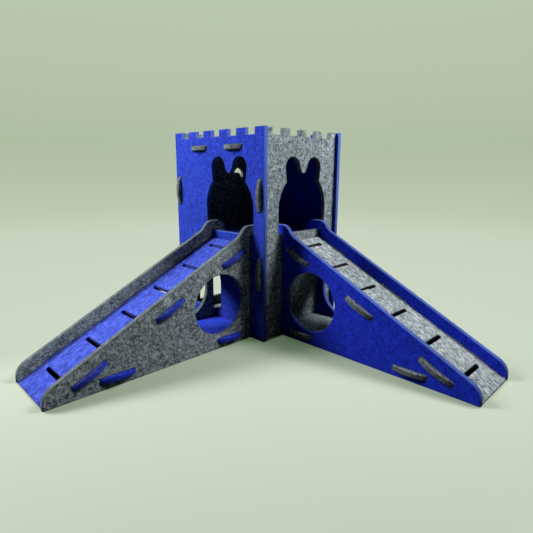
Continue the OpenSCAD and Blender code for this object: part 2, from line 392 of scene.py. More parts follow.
# Painted light: a slightly paler copy of the grey felt for the right slide, as the light on the slide would
# make it, with darker cut edges and a finer grain of its own.
GREY_LIT_TREAD = replace(
    GREY_FELT,
    label="grey_lit_tread",
    dark=srgb(70, 82, 86),
    middle=srgb(154, 166, 170),
    pale=srgb(234, 241, 243),
    cut=srgb(46, 53, 56),
    mottle=2.7 * MM,
    spread=0.11,
    lie=(1.1, 0.5, 0.7),
    swirl=0.7,
)


def arc(centre: Point, radius: float, start: float, end: float, steps: int) -> Loop:
    """Points along an arc, both ends included.

    Args:
        centre: The arc's centre.
        radius: Its radius.
        start: First angle in degrees.
        end: Last angle in degrees.
        steps: Number of steps.

    Returns:
        The points in order.
    """
    angles = [math.radians(start + (end - start) * i / steps) for i in range(steps + 1)]
    return [(centre[0] + radius * math.cos(a), centre[1] + radius * math.sin(a)) for a in angles]


def box_loop(x: float, y: float, width: float, height: float) -> Loop:
    """A rectangle from its lowest corner."""
    return [(x, y), (x + width, y), (x + width, y + height), (x, y + height)]


def circle_loop(centre: Point, radius: float, steps: int) -> Loop:
    """A full circle."""
    return arc(centre, radius, 0, 360, steps)[:-1]


def turned(loop: Loop, origin: Point, degrees: float) -> Loop:
    """A loop turned about zero, then moved to an origin.

    Args:
        loop: The points.
        origin: Where zero goes.
        degrees: Turn, anticlockwise.

    Returns:
        The moved points.
    """
    c, s = math.cos(math.radians(degrees)), math.sin(math.radians(degrees))
    return [(origin[0] + x * c - y * s, origin[1] + x * s + y * c) for x, y in loop]


def without_doubles(loop: Loop) -> Loop:
    """The loop with no two neighbouring points in one place."""
    return [p for i, p in enumerate(loop) if math.dist(p, loop[i - 1]) > SAME_POINT]


def signed_area(loop: Loop) -> float:
    """Twice the loop's area, positive when it runs anticlockwise."""
    return sum(loop[i - 1][0] * p[1] - p[0] * loop[i - 1][1] for i, p in enumerate(loop))


def inset(loop: Loop, depth: float, sharpest: float = 0.35) -> Loop:
    """The loop moved to its left by a depth, with mitred corners.

    Args:
        loop: The points, the felt on their left.
        depth: How far the loop moves into the felt.
        sharpest: Least divisor of a mitre, which keeps a sharp corner's mitre short.

    Returns:
        The moved points, one for each point of the loop.
    """
    moved = []
    for i, (x, y) in enumerate(loop):
        before, after = loop[i - 1], loop[(i + 1) % len(loop)]
        a = Vector((x - before[0], y - before[1])).normalized()
        b = Vector((after[0] - x, after[1] - y)).normalized()
        n, m = Vector((-a.y, a.x)), Vector((-b.y, b.x))
        corner = (n + m) / max(sharpest, 1 + n.dot(m))
        moved.append((x + corner.x * depth, y + corner.y * depth))
    return moved


def inside(points: np.ndarray, loops: list[Loop]) -> np.ndarray:
    """Which points lie in the felt, by the even-odd rule.

    Args:
        points: The points, one in a row.
        loops: The outline and its holes.

    Returns:
        True for each point in the felt.
    """
    odd = np.zeros(len(points), bool)
    for loop in loops:
        for (x0, y0), (x1, y1) in zip(loop, loop[1:] + loop[:1]):
            if y0 == y1:
                continue
            spans = (points[:, 1] >= min(y0, y1)) & (points[:, 1] < max(y0, y1))
            odd ^= spans & (points[:, 0] < x0 + (points[:, 1] - y0) * (x1 - x0) / (y1 - y0))
    return odd


def plain_mesh(mesh: bmesh.types.BMesh, name: str) -> bpy.types.Mesh:
    """Turns a mesh in the making into a plain one.

    Args:
        mesh: The mesh in the making, which is freed.
        name: Name of the plain mesh.

    Returns:
        The plain mesh.
    """
    data = bpy.data.meshes.new(name)
    mesh.to_mesh(data)
    mesh.free()
    return data


@dataclass(frozen=True)
class Tab:
    """The tab that a board pushes through a slot: a straight neck, then a bowed end."""

    length: float
    neck: float = 5.5 * MM
    bow: float = 3.6 * MM

    def points(self) -> Loop:
        """The tab's outline along +X, its root centred on zero, from its right-hand corner.

        Returns:
            The points from one root corner to the other.
        """
        half = self.length / 2
        radius = (half * half + self.bow * self.bow) / (2 * self.bow)
        sweep = math.degrees(math.asin(half / radius))
        end = arc((self.neck + self.bow - radius, 0), radius, -sweep, sweep, steps=14)
        return [(0, -half), *end, (0, half)]


EdgeTabs = dict[int, list[tuple[float, Tab]]]


def edged(corners: Loop, tabs: EdgeTabs) -> Loop:
    """A polygon with tabs standing out of its edges.

    Args:
        corners: The polygon, anticlockwise.
        tabs: Edge number to its tabs, each with the distance of its middle from the edge's start.

    Returns:
        The outline.
    """
    outline: Loop = []
    for i, (x, y) in enumerate(corners):
        outline.append((x, y))
        after = corners[(i + 1) % len(corners)]
        heading = math.degrees(math.atan2(after[1] - y, after[0] - x))
        length = math.dist((x, y), after)
        for distance, tab in sorted(tabs.get(i, []), key=lambda t: t[0]):
            share = distance / length
            root = (x + (after[0] - x) * share, y + (after[1] - y) * share)
            outline += turned(tab.points(), root, heading - 90)
    return without_doubles(outline)


@dataclass
class Board:
    """One die-cut felt board: its outline in its own plane, its place and its finish."""

    node: str
    outline: Loop
    holes: list[Loop]
    place: Matrix
    finish: FeltFinish
    body: Body
    edge_round: float = 0.75 * MM
    edge_rings: int = 4
    rim: float = 0.7 * MM
    margin: float = 2.2 * MM
    step: float = 5.5 * MM
    row_share: float = 0.87
    give: float = 0.16 * MM
    ripple: float = 75.0
    face_shifts: Point = (3.0, 9.0)

    def build(self) -> bpy.types.Object:
        """Makes the board as one closed mesh with softened cut edges and slightly uneven faces.

        Returns:
            The board's object, at the origin, with its place in its mesh.
        """
        loops = [without_doubles(loop) for loop in (self.outline, *self.holes)]
        loops = [loop if (signed_area(loop) > 0) == (i == 0) else loop[::-1] for i, loop in enumerate(loops)]
        mesh = bmesh.new()
        edge_layer = mesh.verts.layers.float.new(CUT_EDGE)
        r = self.edge_round
        turns = np.linspace(0, math.pi / 2, self.edge_rings)
        bends = [(r * (1 - math.sin(a)), r * (1 - math.cos(a))) for a in turns]
        profile = bends + [(depth, FELT - w) for depth, w in reversed(bends)]
        low: list[bmesh.types.BMVert] = []
        high: list[bmesh.types.BMVert] = []
        for loop in loops:
            rings = [[mesh.verts.new((x, y, w)) for x, y in inset(loop, depth)] for depth, w in profile]
            for vert in (vert for ring in rings[1:-1] for vert in ring):
                vert[edge_layer] = 1.0
            for below, above in zip(rings, rings[1:]):
                for i in range(len(loop)):
                    j = (i + 1) % len(loop)
                    mesh.faces.new((below[i], below[j], above[j], above[i]))
            low += rings[0]
            high += rings[-1]
        flat: Loop = []
        lines: list[tuple[int, int]] = []
        for depth in (r, r + self.rim):
            for loop in loops:
                start, count = len(flat), len(loop)
                flat += inset(loop, depth)
                lines += [(start + i, start + (i + 1) % count) for i in range(count)]
        flat += self._field([inset(loop, r + self.margin) for loop in loops])
        self._skin(mesh, flat, lines, low, high, [inset(loop, r) for loop in loops])
        for face in mesh.faces:
            face.smooth = True
        name = self.node + "_felt"
        data = plain_mesh(mesh, name)
        data.transform(self.place)
        data.materials.append(self.finish.material())
        return bpy.data.objects.new(name, data)

    def _field(self, loops: list[Loop]) -> Loop:
        """Points spread over the board's face, so that it can lie unevenly.

        Args:
            loops: The outline and holes that the points keep clear of.

        Returns:
            The points.
        """
        corner, far = np.min(loops[0], axis=0), np.max(loops[0], axis=0)
        rows = []
        for j in range(int((far[1] - corner[1]) / (self.row_share * self.step)) + 1):
            xs = np.arange(corner[0] + (j % 2) * self.step / 2, far[0], self.step)
            rows.append(np.stack([xs, np.full(len(xs), corner[1] + j * self.row_share * self.step)], 1))
        points = np.concatenate(rows)
        return [tuple(p) for p in points[inside(points, loops)]]

    def _skin(
        self,
        mesh: bmesh.types.BMesh,
        flat: Loop,
        lines: list[tuple[int, int]],
        low: list[bmesh.types.BMVert],
        high: list[bmesh.types.BMVert],
        loops: list[Loop],
    ) -> None:
        """Closes the board with its two faces.

        Args:
            mesh: The mesh that holds the cut edges.
            flat: All points of a face, those of the rims first.
            lines: Edges that the triangles must keep.
            low: The rims' vertices on the lower face.
            high: The rims' vertices on the upper face.
            loops: The face's outline and holes.
        """
        corners = [Vector(p) for p in flat]
        points, _, faces, origins, _, _ = delaunay_2d_cdt(corners, lines, [], 0, SAME_CORNER)
        middles = np.array([np.mean([points[i][:] for i in face], axis=0) for face in faces])
        kept = inside(middles, loops)
        below: list[bmesh.types.BMVert] = []
        above: list[bmesh.types.BMVert] = []
        for point, origin in zip(points, origins):
            rim = [i for i in origin if i < len(low)]
            if rim:
                below.append(low[rim[0]])
                above.append(high[rim[0]])
                continue
            there = (self.place @ Vector((point.x, point.y, 0))) * self.ripple
            waves = [noise.noise(there + Vector((0, 0, shift))) for shift in self.face_shifts]
            sinks = [self.give * (0.5 + 0.5 * wave) for wave in waves]
            below.append(mesh.verts.new((point.x, point.y, sinks[0])))
            above.append(mesh.verts.new((point.x, point.y, FELT - sinks[1])))
        for face, keep in zip(faces, kept):
            if keep:
                mesh.faces.new([above[i] for i in face])
                mesh.faces.new([below[i] for i in reversed(face)])
        bmesh.ops.delete(mesh, geom=[v for v in mesh.verts if not v.link_faces], context="VERTS")


def upright_across_x(x: float, y: float) -> Matrix:
    """Board plane to row frame: across X, its first axis along +Y, its second up."""
    return Matrix(((0, 0, 1, x), (1, 0, 0, y), (0, 1, 0, 0), (0, 0, 0, 1)))


def upright_across_y(y: float, x: float = 0.0) -> Matrix:
    """Board plane to row frame: across Y, its first axis along +X, its second up."""
    return Matrix(((1, 0, 0, x), (0, 0, -1, y + FELT), (0, 1, 0, 0), (0, 0, 0, 1)))


class NodeTool(Enum):
    """The Geometry Nodes trees of the part."""

    SLOTTED_BOARD = "slotted_board"
    LOOSE_FIBRES = "loose_fibres"


class GeometryTool:
    """A Geometry Nodes tree with named inputs, run once to a plain mesh."""

    def __init__(self, tool: NodeTool) -> None:
        """Starts an empty tree with a geometry input and output."""
        self.tree = bpy.data.node_groups.new(tool.value, "GeometryNodeTree")
        self.net = NodeNet(self.tree)
        for way in ("INPUT", "OUTPUT"):
            self.tree.interface.new_socket("Geometry", in_out=way, socket_type="NodeSocketGeometry")
        self.entry = self.tree.nodes.new("NodeGroupInput")
        self.exit = self.tree.nodes.new("NodeGroupOutput")

    def size(self, name: str, kind: str = "Float") -> Socket:
        """Adds a named input, a Float, Int or Material, and gives its socket inside the tree."""
        self.tree.interface.new_socket(name, in_out="INPUT", socket_type="NodeSocket" + kind)
        return self.entry.outputs[name]

    def make(self, kind: str, inputs: dict, **settings: object) -> Socket:
        """Adds a geometry node and gives its first output."""
        return self.net.add("GeometryNode" + kind, inputs, **settings).outputs[0]

    def join(self, *parts: Socket) -> Socket:
        """Some geometries as one.

        Args:
            *parts: The geometries, in order.

        Returns:
            The whole.
        """
        whole = self.net.add("GeometryNodeJoinGeometry")
        for part in parts:
            self.tree.links.new(part, whole.inputs[0])
        return whole.outputs[0]

    def ends_in(self, geometry: Socket, material: Socket) -> None:
        """Realizes the geometry, sets its material and leads it out.

        Args:
            geometry: What the tree has made.
            material: The material input.
        """
        real = self.make("RealizeInstances", {"Geometry": geometry})
        dressed = self.make("SetMaterial", {"Geometry": real, "Material": material})
        self.tree.links.new(dressed, self.exit.inputs[0])

    def run(self, name: str, base: bpy.types.Mesh, values: dict) -> bpy.types.Mesh:
        """Runs the tree on a mesh.

        Args:
            name: Name of the mesh that comes out.
            base: The mesh that goes in.
            values: Input name to value.

        Returns:
            The plain mesh.
        """
        holder = bpy.data.objects.new(name, base)
        bpy.context.scene.collection.objects.link(holder)
        modifier = holder.modifiers.new(name, "NODES")
        modifier.node_group = self.tree
        for item in self.tree.interface.items_tree:
            if item.in_out == "INPUT" and item.name in values:
                modifier[item.identifier] = values[item.name]
        return settled(holder, name)


def settled(holder: bpy.types.Object, name: str) -> bpy.types.Mesh:
    """Takes the mesh of an object with its modifiers applied, and removes the object.

    Args:
        holder: An object in the scene.
        name: Name of the new mesh.

    Returns:
        A new plain mesh.
    """
    bpy.context.view_layer.update()
    graph = bpy.context.evaluated_depsgraph_get()
    mesh = bpy.data.meshes.new_from_object(holder.evaluated_get(graph), depsgraph=graph)
    mesh.name = name
    bpy.data.objects.remove(holder)
    return mesh


class SlottedBoardTool(GeometryTool):
    """Makes a crosswise ramp board: a strip with evenly spaced grip slots and tabs along both edges."""

    slot_round: float = 0.499
    slot_steps: int = 8
    tab_points: int = 15
    tab_ease: float = 0.15 * MM
    tab_root: float = 0.6 * MM
    weld: float = 0.01 * MM

    def __init__(self) -> None:
        """Builds the tree."""
        super().__init__(NodeTool.SLOTTED_BOARD)
        net = self.net
        length, width, thick = map(self.size, ("Length", "Width", "Thickness"))
        slots, tabs = (self.size(name, "Int") for name in ("Slots", "Tabs"))
        slot_first, slot_pitch = map(self.size, ("First Slot", "Slot Pitch"))
        slot_length, slot_width = map(self.size, ("Slot Length", "Slot Width"))
        tab_first, tab_pitch = map(self.size, ("First Tab", "Tab Pitch"))
        tab_length, tab_neck, tab_bow = map(self.size, ("Tab Length", "Tab Neck", "Tab Bow"))
        felt = self.size("Felt", "Material")
        rectangle = "CurvePrimitiveQuadrilateral"
        strip = self.make(rectangle, {"Width": length, "Height": width})
        middle = net.vector(net.math("MULTIPLY", length, 0.5))
        strip = self.make("SetPosition", {"Geometry": strip, "Offset": middle})
        slot = self.make(rectangle, {"Width": slot_width, "Height": slot_length})
        corner = net.math("MULTIPLY", slot_width, self.slot_round)
        ends = {"Curve": slot, "Count": self.slot_steps, "Radius": corner}
        slot = self.make("FilletCurve", ends, mode="POLY")
        grips = self._repeat(slot, slots, net.vector(slot_first), slot_pitch)
        sheet = self.make("FillCurve", {"Curve": self.join(strip, grips)}, mode="TRIANGLES")
        board = self._thicken(sheet, thick)
        slim = net.math("SUBTRACT", thick, 2 * self.tab_ease)
        tab = self._thicken(self._tab_sheet(tab_length, tab_neck, tab_bow), slim)
        edge = net.math("MULTIPLY", width, 0.5)
        near = net.vector(tab_first, edge, self.tab_ease)
        far = net.vector(tab_first, net.math("MULTIPLY", edge, -1.0), self.tab_ease)
        near_tabs = self._repeat(tab, tabs, near, tab_pitch)
        far_tabs = self._repeat(tab, tabs, far, tab_pitch, math.pi)
        self.ends_in(self.join(board, near_tabs, far_tabs), felt)

    def _repeat(
        self, shape: Socket, count: Socket, start: Socket, pitch: Socket, turn: float = 0.0
    ) -> Socket:
        """Repeats a shape along the board.

        Args:
            shape: The shape.
            count: How many.
            start: The first one's place, a vector.
            pitch: Step along the board.
            turn: Turn about the board's normal, in radians.

        Returns:
            The real shapes.
        """
        row = {"Count": count, "Start Location": start, "Offset": self.net.vector(pitch)}
        copies = {"Points": self.make("MeshLine", row), "Instance": shape, "Rotation": (0, 0, turn)}
        return self.make("RealizeInstances", {"Geometry": self.make("InstanceOnPoints", copies)})

    def _tab_sheet(self, length: Socket, neck: Socket, bow: Socket) -> Socket:
        """The flat tab along +Y, its root under the board's edge.

        Args:
            length: The tab's length.
            neck: How far its straight sides reach.
            bow: Rise of its bowed end.

        Returns:
            The flat face.
        """
        net = self.net
        half = net.math("MULTIPLY", length, 0.5)
        reach = net.math("ADD", neck, bow)
        bowed = {
            "Resolution": self.tab_points,
            "Start": net.vector(net.math("MULTIPLY", half, -1.0), neck),
            "Middle": net.vector(0.0, reach),
            "End": net.vector(half, neck),
        }
        rim = self.make("CurveToMesh", {"Curve": self.make("CurveArc", bowed, mode="POINTS")})
        root = net.vector(0.0, net.math("MULTIPLY_ADD", reach, -1.0, -self.tab_root))
        return self.make("ExtrudeMesh", {"Mesh": rim, "Offset": root, "Offset Scale": 1.0}, mode="EDGES")

    def _thicken(self, sheet: Socket, thickness: Socket) -> Socket:
        """Gives a flat face the felt's thickness and marks its cut edge.

        Args:
            sheet: The flat face.
            thickness: The felt's thickness.

        Returns:
            The closed board.
        """
        up = self.net.vector(0.0, 0.0, thickness)
        lift = {"Mesh": sheet, "Offset": up, "Offset Scale": 1.0, "Individual": False}
        raised = self.net.add("GeometryNodeExtrudeMesh", lift, mode="FACES").outputs
        marks = {"Geometry": raised["Mesh"], "Name": CUT_EDGE, "Value": raised["Side"]}
        marked = self.make("StoreNamedAttribute", marks, data_type="FLOAT", domain="FACE")
        base = self.make("FlipFaces", {"Mesh": sheet})
        return self.make("MergeByDistance", {"Geometry": self.join(marked, base), "Distance": self.weld})


class LooseFibreTool(GeometryTool):
    """Strews fine loose fibres over the felt, thicker along its cut edges.

    The two draws are added to the seed, so that each fibre's scale and shade have numbers of their own.
    """

    edge_extra: float = 1.6
    roll: float = 0.1
    dip: float = 0.2
    least_scale: float = 0.45
    most_scale: float = 1.25
    scale_draw: float = 3.0
    shade_draw: float = 7.0
    start_drop: float = -0.03
    bend: float = 0.28
    arch: float = 0.12
    sides: int = 3
    steps: int = 2

    def __init__(self) -> None:
        """Builds the tree."""
        super().__init__(NodeTool.LOOSE_FIBRES)
        net = self.net
        density, length, width, lift = map(self.size, ("Density", "Length", "Width", "Lift"))
        seed, felt = self.size("Seed", "Int"), self.size("Fibre", "Material")
        cut = self.make("InputNamedAttribute", {"Name": CUT_EDGE}, data_type="FLOAT")
        thick = net.math("MULTIPLY", density, net.math("MULTIPLY_ADD", cut, self.edge_extra, 1.0))
        spread = {"Mesh": self.entry.outputs[0], "Density": thick, "Seed": seed}
        strewn = net.add("GeometryNodeDistributePointsOnFaces", spread).outputs
        lowest, highest = net.vector(-self.roll, -self.dip, 0.0), net.vector(self.roll, lift, 2 * math.pi)
        turns = {0: lowest, 1: highest, "Seed": seed}
        spin = net.add("FunctionNodeRandomValue", turns, data_type="FLOAT_VECTOR").outputs[0]
        lean = net.add("FunctionNodeEulerToRotation", {0: spin}).outputs[0]
        lie = {"Rotation": strewn["Rotation"], "Rotate By": lean}
        laid = {
            "Points": strewn["Points"],
            "Instance": self._fibre(length, width),
            "Rotation": net.add("FunctionNodeRotateRotation", lie, rotation_space="LOCAL").outputs[0],
            "Scale": self._draw(self.least_scale, self.most_scale, net.math("ADD", seed, self.scale_draw)),
        }
        shades = {
            "Geometry": self.make("InstanceOnPoints", laid),
            "Name": FIBRE_SHADE,
            "Value": self._draw(0.0, 1.0, net.math("ADD", seed, self.shade_draw)),
        }
        shaded = self.make("StoreNamedAttribute", shades, data_type="FLOAT", domain="INSTANCE")
        self.ends_in(shaded, felt)

    def _draw(self, least: float, most: float, seed: Socket) -> Socket:
        """A random number for each fibre."""
        limits = {2: least, 3: most, "Seed": seed}
        return self.net.add("FunctionNodeRandomValue", limits, data_type="FLOAT").outputs[1]

    def _fibre(self, length: Socket, width: Socket) -> Socket:
        """One bent fibre along X.

        Args:
            length: The fibre's length.
            width: Its thickness.

        Returns:
            The fibre as a closed tube.
        """
        net = self.net
        half = net.math("MULTIPLY", length, 0.5)
        shares = (self.start_drop, self.bend, self.arch)
        drop, bend, arch = (net.math("MULTIPLY", length, share) for share in shares)
        way = {
            "Resolution": self.steps,
            "Start": net.vector(net.math("MULTIPLY", half, -1.0), 0.0, drop),
            "Middle": net.vector(0.0, bend, arch),
            "End": net.vector(half),
        }
        round_wire = {"Resolution": self.sides, "Radius": net.math("MULTIPLY", width, 0.5)}
        tube = {
            "Curve": self.make("CurveQuadraticBezier", way),
            "Profile Curve": self.make("CurvePrimitiveCircle", round_wire, mode="RADIUS"),
            "Fill Caps": True,
        }
        return self.make("CurveToMesh", tube)


@dataclass(frozen=True)
class EaredDoor:
    """The rabbit-eared doorway, its parts as shares of its width."""

    width: float = 76 * MM
    shoulder: float = 0.342
    neck_out: float = 0.345
    neck_rise: float = 0.704
    ear_out: float = 0.226
    ear_rise: float = 0.901
    ear_radius: float = 0.145
    tongue_rise: float = 0.875
    tongue_radius: float = 0.0513

    def height(self) -> float:
        """From the sill to the tips of the ears."""
        return (self.ear_rise + self.ear_radius) * self.width

    def outline(self, middle: float) -> Loop:
        """The doorway's outline over the sill.

        Args:
            middle: Place of its middle along the wall.

        Returns:
            The outline.
        """
        w = self.width
        half, body = w / 2, self.shoulder * w
        ear_x, ear_z, ear_r = self.ear_out * w, self.ear_rise * w, self.ear_radius * w
        tongue_z, tongue_r = self.tongue_rise * w, self.tongue_radius * w
        neck = math.degrees(math.atan2(self.neck_rise * w - body, self.neck_out * w))
        dx, dz = ear_x - ear_r, ear_z - tongue_z
        start = math.degrees(math.atan2(dz, dx) - math.acos(tongue_r / math.hypot(dx, dz)))
        right = [
            (0, 0),
            (half, 0),
            *arc((0, body), half, 0, neck, steps=16),
            *arc((ear_x, ear_z), ear_r, 0, 180, steps=24),
            *arc((0, tongue_z), tongue_r, start, -90, steps=8),
        ]
        whole = right + [(-x, z) for x, z in reversed(right)]
        return without_doubles([(middle + x, SILL + z) for x, z in whole])


@dataclass(frozen=True)
class Arch:
    """A round-topped doorway near the ground."""

    sill: float
    width: float
    height: float

    def outline(self, middle: float) -> Loop:
        """The doorway's outline.

        Args:
            middle: Place of its middle along the wall.

        Returns:
            The outline.
        """
        half = self.width / 2
        crown = arc((middle, self.sill + self.height - half), half, 0, 180, steps=40)
        return [(middle - half, self.sill), (middle + half, self.sill), *crown]


@dataclass(frozen=True)
class Crescent:
    """The crescent window: a round opening less a round bite, which is given as shares of its radius."""

    radius: float = 7.5 * MM
    bite_out: float = -0.28
    bite_rise: float = -0.56
    bite_radius: float = 0.77

    def outline(self, centre: Point) -> Loop:
        """The window's outline.

        Args:
            centre: Centre of its outer arc.

        Returns:
            The outline.
        """
        whole, bite = self.radius, self.bite_radius * self.radius
        dx, dy = self.bite_out * whole, self.bite_rise * whole
        gap = math.hypot(dx, dy)
        way = math.degrees(math.atan2(dy, dx))
        a = math.degrees(math.acos((whole**2 + gap**2 - bite**2) / (2 * whole * gap)))
        b = math.degrees(math.acos((bite**2 + gap**2 - whole**2) / (2 * bite * gap)))
        outer = arc(centre, whole, way + a, way + 360 - a, steps=36)
        inner = arc((centre[0] + dx, centre[1] + dy), bite, way + 180 + b, way + 180 - b, steps=24)
        return without_doubles(outer + inner)


@dataclass
class Tower:
    """The slotted tower: two end walls, two side walls, roof plate and upper floor."""

    origin: Point = (42 * MM, 28.5 * MM)
    width: float = 150 * MM
    depth: float = 123 * MM
    overhang: float = 4 * MM
    lintel: float = 7 * MM
    parapet: float = 15.5 * MM
    notch: float = 7 * MM
    end_merlons: int = 6
    end_merlon: float = 14 * MM
    side_merlons: int = 5
    side_merlon: float = 10.4 * MM
    floor_drop: float = 5 * MM
    door: EaredDoor = EaredDoor()
    front_door_inset: float = 6.5 * MM
    side_door_shift: float = 2 * MM
    front_arch: Arch = Arch(18 * MM, 54 * MM, 60 * MM)
    front_arch_inset: float = 17 * MM
    left_arch: Arch = Arch(11 * MM, 56 * MM, 60 * MM)
    left_arch_shift: float = -10 * MM
    window: Crescent = Crescent()
    window_shift: float = 30.5 * MM
    window_rise: float = 60.5 * MM
    wall_tab: float = 33 * MM
    low_tab_share: float = 0.71
    roof_tab: float = 28 * MM
    roof_tab_shift: float = 29 * MM
    floor_tab: float = 22 * MM
    floor_tab_shift: float = 25 * MM
    front_tab_gap: float = 2 * MM

    def __post_init__(self) -> None:
        """Works out the storeys and the places of doors and tabs."""
        self.roof = SILL + self.door.height() + self.lintel
        self.height = self.roof + FELT + self.parapet
        self.floor = SILL - self.floor_drop - FELT
        self.near = self.overhang + FELT
        self.far = self.width - self.overhang - FELT
        self.front_door = self.near + self.front_door_inset + self.door.width / 2
        self.side_door = self.depth / 2 + self.side_door_shift
        self.tab_heights = (self.low_tab_share * self.floor, (self.floor + FELT + self.roof) / 2)
        self.roof_tabs = (self.width / 2 - self.roof_tab_shift, self.width / 2 + self.roof_tab_shift)
        self.floor_tabs = (self.depth / 2 - self.floor_tab_shift, self.depth / 2 + self.floor_tab_shift)

    def footprint(self) -> Spans:
        """The spans of ground under the tower, along X and Y."""
        ox, oy = self.origin
        return (ox, ox + self.depth), (oy, oy + self.width)

    def battlement(self, start: float, end: float, count: int, merlon: float) -> Loop:
        """The wall's outline from its lower corners to its notched top.

        Args:
            start: One end along the wall.
            end: The other end.
            count: Number of merlons.
            merlon: Width of a merlon.

        Returns:
            The outline, anticlockwise.
        """
        pitch = (end - start - merlon) / (count - 1)
        top: Loop = []
        for i in reversed(range(count)):
            x = start + i * pitch
            top += [(x + merlon, self.height), (x, self.height)]
            if i:
                top += [(x, self.height - self.notch), (x - pitch + merlon, self.height - self.notch)]
        return [(start, 0), (end, 0), *top]

    def flat_slot(self, middle: float, z: float, length: float) -> Loop:
        """A slot for a level board's tab."""
        return box_loop(middle - length / 2 - FIT, z - FIT, length + 2 * FIT, FELT + 2 * FIT)

    def end_wall_slots(self) -> list[Loop]:
        """The slots that both end walls have for the side walls and the roof plate.

        Returns:
            The slots' outlines.
        """
        tall = self.wall_tab + 2 * FIT
        upright = [
            box_loop(y - FIT, z - tall / 2, FELT + 2 * FIT, tall)
            for y in (self.overhang, self.far)
            for z in self.tab_heights
        ]
        return upright + [self.flat_slot(y, self.roof, self.roof_tab) for y in self.roof_tabs]

    def side_wall(self) -> Loop:
        """The side walls' outline, with a pair of tabs at each end.

        Returns:
            The outline.
        """
        start, end = FELT + BUTT, self.depth - FELT - BUTT
        corners = self.battlement(start, end, self.side_merlons, self.side_merlon)
        tab = Tab(self.wall_tab)
        rear = [(z, tab) for z in self.tab_heights]
        front = [(self.height - z, tab) for z in self.tab_heights]
        return edged(corners, {1: rear, len(corners) - 1: front})

    def plate(self, tabs: EdgeTabs) -> Loop:
        """A level plate between the walls: its edge 1 is the rear, 2 the left and 3 the front one."""
        x, y = FELT + BUTT, self.near + BUTT
        return edged(box_loop(x, y, self.depth - 2 * x, self.far - BUTT - y), tabs)

    def build(self) -> list[Board]:
        """Lays out the tower's boards.

        Returns:
            The boards, not yet meshes.
        """
        ox, oy = self.origin
        end_wall = self.battlement(0, self.width, self.end_merlons, self.end_merlon)
        side_wall = self.side_wall()
        front_tab = self.front_door + self.door.width / 2 + self.front_tab_gap + self.floor_tab / 2
        front = [
            *self.end_wall_slots(),
            self.door.outline(self.front_door),
            self.front_arch.outline(self.far - self.front_arch_inset - self.front_arch.width / 2),
            self.flat_slot(front_tab, self.floor, self.floor_tab),
        ]
        rear = self.end_wall_slots()
        rear += [self.flat_slot(y, self.floor, self.floor_tab) for y in self.roof_tabs]
        right = [self.door.outline(self.side_door)]
        left = [
            self.left_arch.outline(self.depth / 2 + self.left_arch_shift),
            self.window.outline((self.depth / 2 + self.window_shift, SILL + self.window_rise)),
            *(self.flat_slot(x, self.floor, self.floor_tab) for x in self.floor_tabs),
        ]
        x0, y0, y1 = FELT + BUTT, self.near + BUTT, self.far - BUTT
        roof_tab, floor_tab = Tab(self.roof_tab), Tab(self.floor_tab)
        roof_tabs = {
            1: [(y - y0, roof_tab) for y in self.roof_tabs],
            3: [(y1 - y, roof_tab) for y in self.roof_tabs],
        }
        floor_tabs = {
            1: [(y - y0, floor_tab) for y in self.roof_tabs],
            2: [(self.depth - x0 - x, floor_tab) for x in self.floor_tabs],
            3: [(y1 - front_tab, floor_tab)],
        }
        rear_x = ox + self.depth - FELT
        roof_place, floor_place = (Matrix.Translation((ox, oy, z)) for z in (self.roof, self.floor))
        layout = (
            ("front_wall", end_wall, front, upright_across_x(ox, oy), BLUE_FELT),
            ("rear_wall", end_wall, rear, upright_across_x(rear_x, oy), BLUE_FELT),
            ("right_wall", side_wall, right, upright_across_y(oy + self.overhang, ox), GREY_FELT),
            ("left_wall", side_wall, left, upright_across_y(oy + self.far, ox), GREY_FELT),
            ("roof_plate", self.plate(roof_tabs), [], roof_place, GREY_FELT),
            ("upper_floor", self.plate(floor_tabs), [], floor_place, BLUE_FELT),
        )
        return [Board(*board, Body.TOWER) for board in layout]


